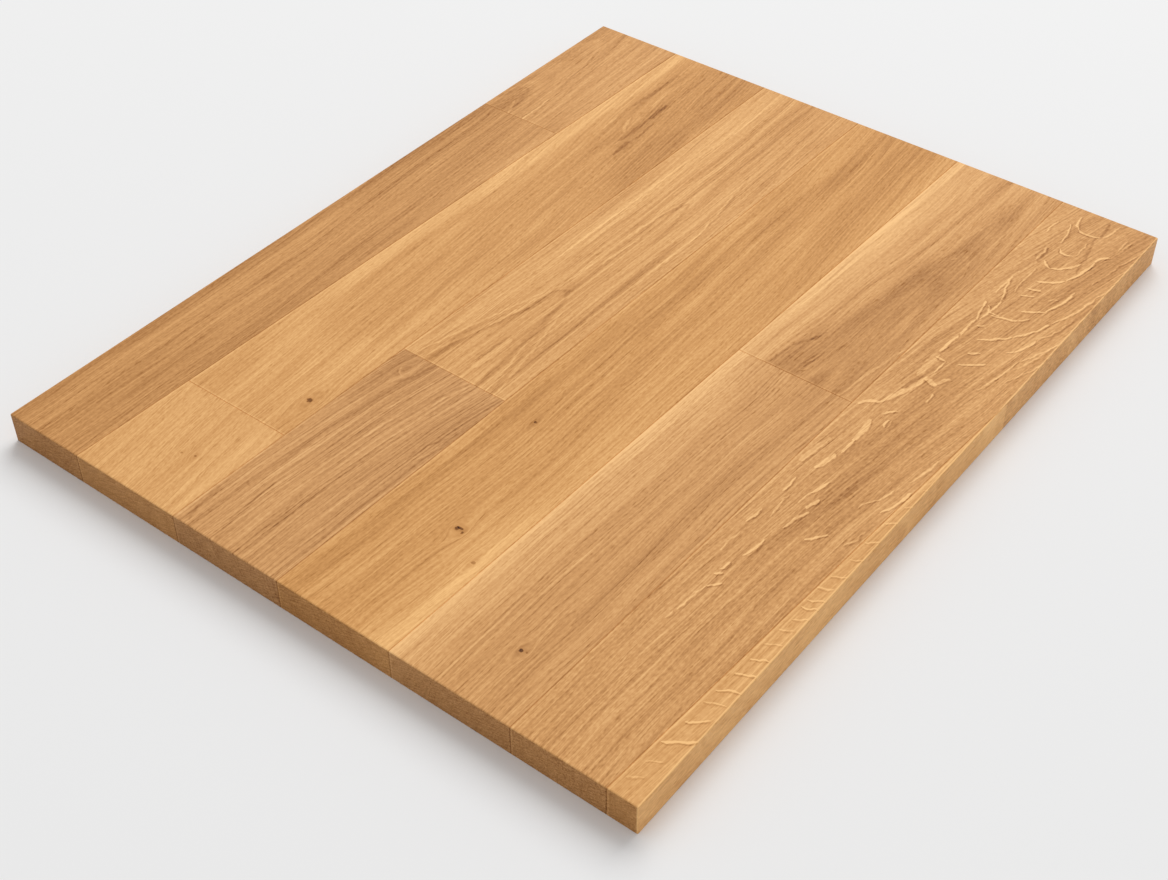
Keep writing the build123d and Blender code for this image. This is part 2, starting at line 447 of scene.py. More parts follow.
            Fleck((20, 200.5), (23.7, 213), 0.4, 1.6),
            Fleck((19.6, 191), (20, 201), 0.0, 1.0, 0.39),
            Fleck((24, 190), (26.8, 199.5), 0.3, 1.8),
            Fleck((23.5, 172), (27.3, 189.5), -0.8, 1.6),
            Fleck((8.8, 192.5), (9.1, 206), 0.0, 1.2),
            Fleck((15, 175), (12.6, 194), -0.8, 1.1, 0.47),
            Fleck((36, 172), (43, 181.5), -0.4, 1.6),
            Fleck((53, 180), (55.6, 194.5), 0.5, 1.0, 0.39),
            Fleck((7.2, 165), (8, 177), 0.3, 1.2),
            Fleck((48, 174), (58, 173.6), 0.0, 1.0, -0.08),
            Fleck((18.5, 145), (21.2, 160.5), 0.7, 1.4),
            Fleck((20.5, 146), (21.6, 153), 0.2, 0.9, 0.39),
            Fleck((8.5, 142), (8.6, 158), 0.0, 1.0, 0.39),
            Fleck((16, 131), (17.1, 138.5), 0.3, 1.2),
            Fleck((15.5, 127.3), (18.6, 131), 0.0, 1.1),
            Fleck((17, 119), (22, 125.5), 0.0, 1.2),
            Fleck((15.5, 99), (17, 119), -0.5, 1.1, 0.47),
            Fleck((14.5, 91.5), (14.6, 97.5), 0.0, 1.0, 0.39),
            Fleck((35, 481), (37.5, 497), 0.6, 1.2, 0.39),
            Fleck((47.2, 475), (47.4, 487), 0.3, 1.3, 0.42),
            Fleck((53.6, 462), (58.5, 477), 0.6, 1.2, 0.39),
            Fleck((33.8, 480), (31.8, 497), 0.4, 1.7, -0.34),
            Fleck((38.5, 440), (31.6, 478), 0.6, 1.9, -0.28),
            Fleck((16.2, 437), (15.6, 454), 0.2, 1.5, -0.30),
            Fleck((13.4, 440), (13.2, 454), 0.0, 1.4, -0.30),
            Fleck((14.8, 438), (14.4, 454), 0.0, 1.1, 0.44),
            Fleck((12.4, 397), (12.6, 424), -0.5, 1.2, 0.39),
        ),
    ),
    Stave(
        "closing_wedge", 6, 0.14, lean=0.05, pith_across=200, pith_depth=9, ring_width=2.0,
        ring_tone=-0.05,
        flecks=(
            Fleck((62, 236), (65, 240), 0.3, 0.88, 0.34),
            Fleck((61.5, 220), (65, 224.5), 0.3, 0.88, 0.34),
            Fleck((60, 205), (65, 210.5), 0.3, 1.04, 0.41),
            Fleck((59.5, 188), (64.5, 193), 0.3, 0.96, 0.41),
            Fleck((59.5, 174), (65, 179), 0.3, 0.96, 0.41),
            Fleck((58.5, 160), (64.5, 164), 0.3, 0.96, 0.41),
            Fleck((57.5, 150), (64, 154), 0.3, 1.04, 0.40),
            Fleck((58, 141), (66, 146.3), 0.4, 1.2, 0.42),
            Fleck((58.3, 135.3), (66, 139), 0.4, 1.04),
            Fleck((59.5, 126.5), (66, 131.5), 0.4, 0.96, 0.41),
            Fleck((57.5, 118), (64, 121.5), 0.3, 0.88, 0.36),
            Fleck((57.5, 107), (65, 111), 0.3, 0.88, 0.36),
            Fleck((57.7, 95), (66.5, 99.3), -0.8, 1.12),
            Fleck((57.2, 84), (67, 88.8), -0.8, 1.12),
            Fleck((56.3, 71.5), (66.8, 77), -0.8, 1.12),
            Fleck((56.3, 62.8), (66, 67), -0.5, 0.96, 0.41),
            Fleck((56.3, 49), (65, 56.5), 0.3, 1.12),
            Fleck((54.3, 34), (67.5, 44.5), 0.5, 1.44),
            Fleck((55, 22), (62, 27), 0.3, 0.88, 0.34),
            Fleck((54.5, 11), (61, 15), 0.3, 0.8, 0.29),
        ),
    ),
)


# Wiring of shader nodes.
def feed(tree, socket, source):
    """Links a socket from another one, or gives it a value of its own."""
    if isinstance(source, bpy.types.NodeSocket):
        tree.links.new(source, socket)
    else:
        socket.default_value = source


def place(tree, kind, wires, **options):
    """Adds a node, sets its options and feeds its inputs."""
    node = tree.nodes.new(kind)
    for option, choice in options.items():
        setattr(node, option, choice)
    for socket, source in wires.items():
        feed(tree, node.inputs[socket], source)
    return node


def calc(tree, operation, first, second=0.0, third=0.0):
    """One sum."""
    return place(tree, "ShaderNodeMath", {0: first, 1: second, 2: third}, operation=operation).outputs[0]


def vector_calc(tree, operation, first, second=(0.0, 0.0, 0.0)):
    """One sum of vectors."""
    return place(tree, "ShaderNodeVectorMath", {0: first, 1: second}, operation=operation)


def vector_of(tree, across=0.0, lengthways=0.0, upwards=0.0):
    """A vector from its three parts."""
    return place(tree, "ShaderNodeCombineXYZ", {0: across, 1: lengthways, 2: upwards}).outputs[0]


def parts_of(tree, vector):
    """The three parts of a vector."""
    return place(tree, "ShaderNodeSeparateXYZ", {0: vector}).outputs


def rise(tree, value, low, high, from_value=0.0, to_value=1.0):
    """Eases from one value to another as the input goes from low to high."""
    wires = {"Value": value, "From Min": low, "From Max": high, "To Min": from_value, "To Max": to_value}
    return place(tree, "ShaderNodeMapRange", wires, interpolation_type="SMOOTHSTEP", clamp=False).outputs[0]


def fade(tree, value, low, high, from_value=1.0):
    """Eases down to nothing as the input goes from low to high."""
    return rise(tree, value, low, high, from_value, 0.0)


def mottle(tree, vector, size, seed, detail=2.0, roughness=0.5):
    """Smooth random variation about zero, of the given size across, along and through the stave."""
    scaled = vector_calc(tree, "DIVIDE", vector, size).outputs[0]
    moved = vector_calc(tree, "ADD", scaled, vector_of(tree, seed, seed, seed)).outputs[0]
    wires = {"Vector": moved, "Scale": 1.0, "Detail": detail, "Roughness": roughness}
    return calc(tree, "SUBTRACT", place(tree, "ShaderNodeTexNoise", wires).outputs[0], 0.5)


# Sockets of the shared groups that are more than one value.
SOCKET_KINDS = {
    "Stave": "NodeSocketVector",
    "Grain": "NodeSocketVector",
    "Normal": "NodeSocketVector",
    "Color": "NodeSocketColor",
}


def new_group(name, inputs, outputs):
    """An empty node group with named sockets, what it is given and what it results in."""
    group = bpy.data.node_groups.new(name, "ShaderNodeTree")
    for in_out, sockets in (("INPUT", inputs), ("OUTPUT", outputs)):
        for socket in sockets:
            kind = SOCKET_KINDS.get(socket, "NodeSocketFloat")
            group.interface.new_socket(socket, in_out=in_out, socket_type=kind)
    return group, group.nodes.new("NodeGroupInput").outputs, group.nodes.new("NodeGroupOutput").inputs


# Shared effects. A size is in millimetres across, along and through a stave.
# A pair is where an easing starts and where it stops.
SWAY_SIZE = (30, 110, 30)
SWAY = 8.0


def make_grain_flow():
    """Straightens the grain: takes out its lean, its long curve and its sway."""
    group, given, result = new_group("grain flow", ("Stave", "Middle", "Lean", "Curve", "Seed"), ("Grain",))
    parts = parts_of(group, given["Stave"])
    run = calc(group, "SUBTRACT", parts["Y"], given["Middle"])
    half_run = calc(group, "MULTIPLY", run, 0.5)
    slope = calc(group, "MULTIPLY_ADD", half_run, given["Curve"], given["Lean"])
    drift = calc(group, "MULTIPLY", run, slope)
    sway = calc(group, "MULTIPLY", mottle(group, given["Stave"], SWAY_SIZE, given["Seed"]), SWAY)
    shift = vector_of(group, calc(group, "ADD", drift, sway))
    feed(group, result["Grain"], vector_calc(group, "SUBTRACT", given["Stave"], shift).outputs[0])
    return group


SLOW_BEND_SIZE = (24, 110, 24)
QUICK_BEND_SIZE = (4, 26, 4)
QUICK_BEND = 0.4  # against the slow bend
RING_BEND = 2.0  # millimetres for a waver of one
SPACING_PACE = 0.4  # how fast the spacing changes from ring to ring
SPACING_SPREAD = 2.2  # in rings
EARLY_WOOD_ONSET = (0.0, 0.10)  # shares of one ring
EARLY_WOOD_FADE = (0.12, 0.60)
WEAKEST_YEAR = 0.4  # strength of the faintest ring
YEAR_SPREAD = 0.8  # what the boldest ring has more


def make_growth_rings():
    """Rings round a pith that lies under the face and dips along the stave."""
    group, given, result = new_group(
        "growth rings",
        ("Stave", "Middle", "Pith Across", "Pith Depth", "Pith Dip", "Ring Width", "Waver", "Seed"),
        ("Early Wood", "Year"),
    )
    parts = parts_of(group, given["Stave"])
    sideways = calc(group, "SUBTRACT", parts["X"], given["Pith Across"])
    run = calc(group, "SUBTRACT", parts["Y"], given["Middle"])
    height = calc(group, "ADD", calc(group, "SUBTRACT", parts["Z"], THICKNESS), given["Pith Depth"])
    height = calc(group, "MULTIPLY_ADD", run, given["Pith Dip"], height)
    square = calc(group, "MULTIPLY_ADD", height, height, calc(group, "MULTIPLY", sideways, sideways))
    radius = calc(group, "SQRT", square)
    slow = mottle(group, given["Stave"], SLOW_BEND_SIZE, given["Seed"])
    quick = mottle(group, given["Stave"], QUICK_BEND_SIZE, given["Seed"])
    bend = calc(group, "MULTIPLY_ADD", quick, QUICK_BEND, slow)
    radius = calc(group, "MULTIPLY_ADD", bend, calc(group, "MULTIPLY", given["Waver"], RING_BEND), radius)
    count = calc(group, "DIVIDE", radius, given["Ring Width"])
    pace = calc(group, "MULTIPLY_ADD", count, SPACING_PACE, given["Seed"])
    spacing = place(
        group, "ShaderNodeTexNoise", {"W": pace, "Scale": 1.0, "Detail": 0.0}, noise_dimensions="1D"
    ).outputs[0]
    turn = calc(group, "MULTIPLY_ADD", spacing, SPACING_SPREAD, count)
    within = calc(group, "FRACT", turn)
    onset = rise(group, within, *EARLY_WOOD_ONSET)
    late = fade(group, within, *EARLY_WOOD_FADE)
    year = place(group, "ShaderNodeTexWhiteNoise", {"W": calc(group, "FLOOR", turn)}, noise_dimensions="1D")
    strength = calc(group, "MULTIPLY_ADD", year.outputs[0], YEAR_SPREAD, WEAKEST_YEAR)
    early = calc(group, "MULTIPLY", calc(group, "MULTIPLY", onset, late), strength)
    feed(group, result["Early Wood"], early)
    feed(group, result["Year"], count)
    return group


PORE_SIZE = (0.7, 5, 0.7)
PORE_OPENING = (0.03, 0.18)
LATE_WOOD_PORES = 0.3  # strength of the pores outside the early wood
DASH_SIZE = (0.8, 45, 0.8)
LINE_SIZE = (1.3, 260, 1)  # lines and bands are measured across in years
BAND_SIZE = (5, 300, 1)
SPECKLE_SIZE = (1.2, 2.6, 1.2)


def make_pores_and_fibres():
    """Short dashes, long lines and broad bands along the grain, and the open pores of the early wood."""
    group, given, result = new_group(
        "pores and fibres",
        ("Grain", "Early Wood", "Year", "Seed"),
        ("Dash", "Line", "Band", "Mottle", "Pores"),
    )
    grain, seed = given["Grain"], given["Seed"]
    speck = rise(group, mottle(group, grain, PORE_SIZE, seed, detail=1.0), *PORE_OPENING)
    share = calc(group, "MULTIPLY_ADD", given["Early Wood"], 1.0 - LATE_WOOD_PORES, LATE_WOOD_PORES)
    yearly = vector_of(group, given["Year"], parts_of(group, grain)["Y"])
    feed(group, result["Dash"], mottle(group, grain, DASH_SIZE, seed, detail=1.0, roughness=0.6))
    feed(group, result["Line"], mottle(group, yearly, LINE_SIZE, seed, detail=4.0, roughness=0.68))
    feed(group, result["Band"], mottle(group, yearly, BAND_SIZE, seed, detail=1.0))
    feed(group, result["Mottle"], mottle(group, grain, SPECKLE_SIZE, seed, detail=1.0))
    feed(group, result["Pores"], calc(group, "MULTIPLY", speck, share))
    return group


STREAK_BEND_SIZE = (20, 60, 20)
STREAK_BEND_ACROSS = 6.0  # millimetres for a waver of one
STREAK_BEND_ALONG = 40.0
STREAK_TAIL = 0.3  # share of the length over which an end fades


def make_soft_streak():
    """A band along the stave with soft sides and ends."""
    group, given, result = new_group(
        "soft streak",
        ("Stave", "Across", "Half Width", "Near", "Far", "Lean", "Waver", "Soft", "Seed"),
        ("Mask",),
    )
    parts = parts_of(group, given["Stave"])
    middle = calc(group, "MULTIPLY", calc(group, "ADD", given["Near"], given["Far"]), 0.5)
    from_middle = calc(group, "SUBTRACT", parts["Y"], middle)
    line = calc(group, "MULTIPLY_ADD", from_middle, given["Lean"], given["Across"])
    bend = mottle(group, given["Stave"], STREAK_BEND_SIZE, given["Seed"])
    bend = calc(group, "MULTIPLY", bend, given["Waver"])
    off = calc(group, "SUBTRACT", parts["X"], calc(group, "MULTIPLY_ADD", bend, STREAK_BEND_ACROSS, line))
    off = calc(group, "DIVIDE", calc(group, "ABSOLUTE", off), given["Half Width"])
    run = calc(group, "MULTIPLY_ADD", bend, STREAK_BEND_ALONG, parts["Y"])
    tail = calc(group, "MULTIPLY", calc(group, "SUBTRACT", given["Far"], given["Near"]), STREAK_TAIL)
    side = fade(group, off, calc(group, "SUBTRACT", 1.0, given["Soft"]), 1.0)
    start = rise(group, run, given["Near"], calc(group, "ADD", given["Near"], tail))
    stop = fade(group, run, calc(group, "SUBTRACT", given["Far"], tail), given["Far"])
    feed(group, result["Mask"], calc(group, "MULTIPLY", side, calc(group, "MULTIPLY", start, stop)))
    return group


KNOT_EDGE_SIZE = (1.2, 1.2, 1.2)
KNOT_RAGGEDNESS = 1.2
KNOT_SQUEEZE = 0.4  # makes the flow round a knot long along the grain
KNOT_REACH = (0.5, 6.0)  # in radii of the knot, as are the core and the halo
KNOT_PULL = 0.75
KNOT_CORE = (0.7, 1.15)
KNOT_HALO = (0.8, 3.0)


def make_pin_knot():
    """A small dark knot with a brown halo. The grain that leaves the group flows round it."""
    group, given, result = new_group(
        "pin knot",
        ("Stave", "Across", "Along", "Radius"),
        ("Stave", "Core", "Halo"),
    )
    parts = parts_of(group, given["Stave"])
    sideways = calc(group, "SUBTRACT", parts["X"], given["Across"])
    lengthways = calc(group, "SUBTRACT", parts["Y"], given["Along"])
    ragged = mottle(group, given["Stave"], KNOT_EDGE_SIZE, given["Across"], detail=1.0)
    away = vector_calc(group, "LENGTH", vector_of(group, sideways, lengthways)).outputs["Value"]
    away = calc(group, "DIVIDE", away, given["Radius"])
    edge = calc(group, "MULTIPLY_ADD", ragged, KNOT_RAGGEDNESS, away)
    squeezed = vector_of(group, sideways, calc(group, "MULTIPLY", lengthways, KNOT_SQUEEZE))
    flow = vector_calc(group, "LENGTH", squeezed).outputs["Value"]
    flow = calc(group, "DIVIDE", flow, given["Radius"])
    pull = fade(group, flow, *KNOT_REACH, from_value=KNOT_PULL)
    shift = vector_of(group, calc(group, "MULTIPLY", sideways, pull))
    feed(group, result["Stave"], vector_calc(group, "SUBTRACT", given["Stave"], shift).outputs[0])
    feed(group, result["Core"], fade(group, edge, *KNOT_CORE))
    feed(group, result["Halo"], fade(group, flow, *KNOT_HALO))
    return group


FLECK_TAPER = 0.35  # power of the arch that the width follows
FLECK_SIDE = (-1.0, 0.75)  # in softnesses from the stroke's side
FLECK_TIP = (0.0, 0.12)
SHADE_OFFSET = 0.6  # millimetres from the stroke's side to the middle of its shade
SHADE_SIDE = (0.1, 0.8)


def make_ray_fleck():
    """A curved stroke that tapers to both ends, with a shade of the other tone along its right side."""
    group, given, result = new_group(
        "ray fleck",
        (
            "Across", "Along", "Near Across", "Near Along", "Way Across", "Way Along", "Length",
            "Bulge", "Half Width", "Soft", "Shade",
        ),
        ("Tone",),
    )
    reach_across = calc(group, "SUBTRACT", given["Across"], given["Near Across"])
    reach_along = calc(group, "SUBTRACT", given["Along"], given["Near Along"])
    onwards = calc(group, "MULTIPLY", reach_across, given["Way Across"])
    onwards = calc(group, "MULTIPLY_ADD", reach_along, given["Way Along"], onwards)
    leftwards = calc(group, "MULTIPLY", reach_along, given["Way Across"])
    side = calc(group, "SUBTRACT", calc(group, "MULTIPLY", reach_across, given["Way Along"]), leftwards)
    share = calc(group, "DIVIDE", onwards, given["Length"])
    arch = calc(group, "SUBTRACT", share, calc(group, "MULTIPLY", share, share))
    arch = calc(group, "MAXIMUM", calc(group, "MULTIPLY", arch, 4.0), 0.0)
    off = calc(group, "SUBTRACT", side, calc(group, "MULTIPLY", arch, given["Bulge"]))
    half = calc(group, "MULTIPLY", calc(group, "POWER", arch, FLECK_TAPER), given["Half Width"])
    past_side = calc(group, "SUBTRACT", calc(group, "ABSOLUTE", off), half)
    stroke = fade(group, calc(group, "DIVIDE", past_side, given["Soft"]), *FLECK_SIDE)
    beside = calc(group, "SUBTRACT", calc(group, "SUBTRACT", off, half), SHADE_OFFSET)
    shade = fade(group, calc(group, "ABSOLUTE", beside), *SHADE_SIDE)
    shaded = calc(group, "ADD", stroke, calc(group, "MULTIPLY", shade, given["Shade"]))
    feed(group, result["Tone"], calc(group, "MULTIPLY", shaded, rise(group, arch, *FLECK_TIP)))
    return group


GLUE_LINE = (0.15, 0.5)  # millimetres from a joint, as are the next three
# Where the painted highlights lie along the arrises.
LEFT_ARRIS_START = (0.3, 0.6)
LEFT_ARRIS_STOP = (0.8, 1.8)
NEAR_ARRIS = (0.4, 1.6)
SAWN_ARRIS = (0.6, 1.1)  # millimetres from the right-hand saw cut


def make_joint_lines():
    """The dark glue line along both sides, and painted highlights along the arrises: left, near, and at the
    saw cut.
    """
    group, given, result = new_group(
        "joint lines",
        ("Stave", "Left", "Left Taper", "Right", "Right Taper", "Near", "Sawn Side", "Side Face"),
        ("Glue", "Joint Highlight", "Sawn Edge Highlight"),
    )
    parts = parts_of(group, given["Stave"])
    left = calc(group, "MULTIPLY_ADD", parts["Y"], given["Left Taper"], given["Left"])
    right = calc(group, "MULTIPLY_ADD", parts["Y"], given["Right Taper"], given["Right"])
    sawn = calc(group, "MULTIPLY_ADD", parts["Y"], -LEAN, given["Sawn Side"])
    from_left = calc(group, "SUBTRACT", parts["X"], left)
    from_right = calc(group, "SUBTRACT", right, parts["X"])
    from_sawn = calc(group, "SUBTRACT", sawn, parts["X"])
    square_on = calc(group, "MULTIPLY_ADD", parts["X"], -LEAN, parts["Y"])
    from_near = calc(group, "SUBTRACT", calc(group, "MULTIPLY", square_on, cos(LAY_ANGLE)), given["Near"])
    glue = fade(group, calc(group, "MINIMUM", from_left, from_right), *GLUE_LINE)
    # Painted highlights beside the left joint and the near end joint.
    left_joint_highlight = fade(group, from_left, *LEFT_ARRIS_STOP)
    left_joint_highlight = calc(group, "MULTIPLY", rise(group, from_left, *LEFT_ARRIS_START), left_joint_highlight)
    near_joint_highlight = fade(group, from_near, *NEAR_ARRIS)
    off_side = calc(group, "SUBTRACT", 1.0, given["Side Face"])
    feed(group, result["Glue"], calc(group, "MULTIPLY", glue, off_side))
    feed(group, result["Joint Highlight"], calc(group, "MAXIMUM", left_joint_highlight, near_joint_highlight))
    # Painted highlight along the eased edge at the right-hand saw cut.
    sawn_edge_highlight = fade(group, from_sawn, *SAWN_ARRIS)
    feed(group, result["Sawn Edge Highlight"], calc(group, "MULTIPLY", sawn_edge_highlight, off_side))
    return group


END_FACING = (0.75, 0.95)
SIDE_FACING = (0.4, 0.9)
FLAT_FACING = (0.3, 0.7)
SAW_SLANT = -0.35
SAW_MARK_SIZE = (7, 1, 0.8)


def make_faces():
    """Which way a face looks, the rough marks that the saw leaves on an end, and painted light on the side
    faces.
    """
    group, given, result = new_group(
        "faces",
        ("Stave", "Normal", "Seed"),
        ("End", "Side", "Flat", "Lightness", "End Grain And Side Light"),
    )
    facing = parts_of(group, given["Normal"])
    end = rise(group, calc(group, "ABSOLUTE", facing["Y"]), *END_FACING)
    side = rise(group, calc(group, "ABSOLUTE", facing["X"]), *SIDE_FACING)
    flat = rise(group, calc(group, "ABSOLUTE", facing["Z"]), *FLAT_FACING)
    parts = parts_of(group, given["Stave"])
    slanted = calc(group, "MULTIPLY_ADD", parts["X"], SAW_SLANT, parts["Z"])
    sawn_plane = vector_of(group, parts["X"], 0.0, slanted)
    marks = mottle(group, sawn_plane, SAW_MARK_SIZE, given["Seed"], roughness=0.6)
    marks = calc(group, "MULTIPLY", calc(group, "MULTIPLY", marks, end), SAW_TONE)
    # End grain is darker, and side faces are lighter by painted light.
    plain = calc(group, "MULTIPLY_ADD", end, END_TONE, calc(group, "MULTIPLY", side, SIDE_PAINTED_LIGHT))
    feed(group, result["End"], end)
    feed(group, result["Side"], side)
    feed(group, result["Flat"], flat)
    feed(group, result["Lightness"], calc(group, "MULTIPLY_ADD", end, END_LIGHTNESS - 1.0, 1.0))
    feed(group, result["End Grain And Side Light"], calc(group, "ADD", plain, marks))
    return group


def make_oak_colour():
    """Turns tone into the colour that oak has at that lightness."""
    group, given, result = new_group("oak colour", ("Tone", "Saturation", "Lightness"), ("Color",))
    tones = TONE_OF_PALE - TONE_OF_BURNT
    place_in_ramp = calc(group, "DIVIDE", calc(group, "SUBTRACT", given["Tone"], TONE_OF_BURNT), tones)
    colours = place(group, "ShaderNodeValToRGB", {"Fac": place_in_ramp})
    stops = colours.color_ramp.elements
    stops[0].color = BURNT_OAK
    stops[1].color = PALE_OAK
    stops.new((TONE_OF_DARK - TONE_OF_BURNT) / tones).color = DARK_OAK
    stops.new((0.0 - TONE_OF_BURNT) / tones).color = PLAIN_OAK
    tint = {"Saturation": given["Saturation"], "Value": given["Lightness"]}
    tinted = place(group, "ShaderNodeHueSaturation", {**tint, "Color": colours.outputs["Color"]})
    feed(group, result["Color"], tinted.outputs["Color"])
    return group


GRAIN_FLOW = make_grain_flow()
GROWTH_RINGS = make_growth_rings()
PORES_AND_FIBRES = make_pores_and_fibres()
SOFT_STREAK = make_soft_streak()
PIN_KNOT = make_pin_knot()
RAY_FLECK = make_ray_fleck()
JOINT_LINES = make_joint_lines()
FACES = make_faces()
OAK_COLOUR = make_oak_colour()


def use(tree, group, wires):
    """Places a node group in a material."""
    node = tree.nodes.new("ShaderNodeGroup")
    node.node_tree = group
    for socket, source in wires.items():
        feed(tree, node.inputs[socket], source)
    return node.outputs


def joints_of(stave):
    """Where a stave meets its neighbours. A side that meets none is far away."""
    sawn_side = (cad_high.x - row_corner(stave.row)[0]) / MILLIMETRE / cos(LAY_ANGLE)
    places = {"Left": -FAR_AWAY, "Right": FAR_AWAY, "Near": -FAR_AWAY, "Sawn Side": sawn_side}
    if stave.node == "closing_wedge":
        return {**places, "Left": WEDGE_ACROSS, "Left Taper": WEDGE_TAPER}
    if stave.row > 1:
        places["Left"] = 0.0
    if stave.row < LAST_ROW:
        places["Right"] = STAVE_WIDTH
    else:
        places.update({"Right": WEDGE_ACROSS, "Right Taper": WEDGE_TAPER})
    if stave.node.endswith("_far"):
        places["Near"], _ = span(stave.node)
    return places


PALE_HALF_WIDTH = 0.48  # half widths are shares of a fleck's width
DARK_HALF_WIDTH = 0.56
PALE_SOFTNESS = 0.34  # millimetres
DARK_SOFTNESS = 0.35  # share of a fleck's width
PALE_SHADE = -0.5
WAVER_ACROSS_SIZE = (4, 6, 4)
WAVER_ALONG_SIZE = (6, 4, 6)
FLECK_WAVER = 3.0
ALONG_SEED = 7  # keeps the waver along a stave apart from the one across it


def sides_of(fleck):
    """A pale fleck is crisp and has a dark shade beside it. A dark one is soft and has none."""
    if fleck.tone > 0:
        return {"Half Width": PALE_HALF_WIDTH * fleck.width, "Soft": PALE_SOFTNESS, "Shade": PALE_SHADE}
    return {"Half Width": DARK_HALF_WIDTH * fleck.width, "Soft": DARK_SOFTNESS * fleck.width, "Shade": 0.0}


def tone_of_flecks(tree, setting_out, flecks, seed):
    """The tone that all the flecks of a stave add together."""
    if not flecks:
        return 0.0
    parts = parts_of(tree, setting_out)
    across = mottle(tree, setting_out, WAVER_ACROSS_SIZE, seed)
    across = calc(tree, "MULTIPLY_ADD", across, FLECK_WAVER, parts["X"])
    along = mottle(tree, setting_out, WAVER_ALONG_SIZE, seed + ALONG_SEED)
    along = calc(tree, "MULTIPLY_ADD", along, FLECK_WAVER, parts["Y"])
    tone = 0.0
    for fleck in flecks:
        chord = Vector(fleck.far) - Vector(fleck.near)
        way = chord.normalized()
        stroke = use(
            tree, RAY_FLECK,
            {
                "Across": across, "Along": along, "Near Across": fleck.near[0], "Near Along": fleck.near[1],
                "Way Across": way.x, "Way Along": way.y, "Length": chord.length, "Bulge": fleck.bulge,
                **sides_of(fleck),
            },
        )["Tone"]
        tone = calc(tree, "MULTIPLY_ADD", stroke, fleck.tone, tone)
    return tone


def tone_of_streaks(tree, setting_out, streaks, seed):
    """The tone that all the streaks of a stave add together."""
    tone = 0.0
    for number, streak in enumerate(streaks):
        mask = use(
            tree, SOFT_STREAK,
            {
                "Stave": setting_out, "Across": streak.across, "Half Width": streak.half_width,
                "Near": streak.near, "Far": streak.far, "Lean": streak.lean, "Waver": streak.waver,
                "Soft": streak.soft, "Seed": seed + number,
            },
        )["Mask"]
        tone = calc(tree, "MULTIPLY_ADD", mask, streak.tone, tone)
    return tone


EARLY_WOOD_SHARE = 0.25  # of the face, so that the rings leave a stave's own tone as it is
END_FIGURE_LOST = 0.6  # share of the figure that the saw hides on an end
HALO_STRENGTH = 0.25  # against the knot's own tone
ROUGHNESS = 0.5
PORE_ROUGHNESS = 0.15
SPECULAR_LEVEL = 0.08
DASH_HEIGHT = 0.5
PORE_HEIGHT = -1.0
BUMP_STRENGTH = 0.3
BUMP_DEPTH = 0.0001


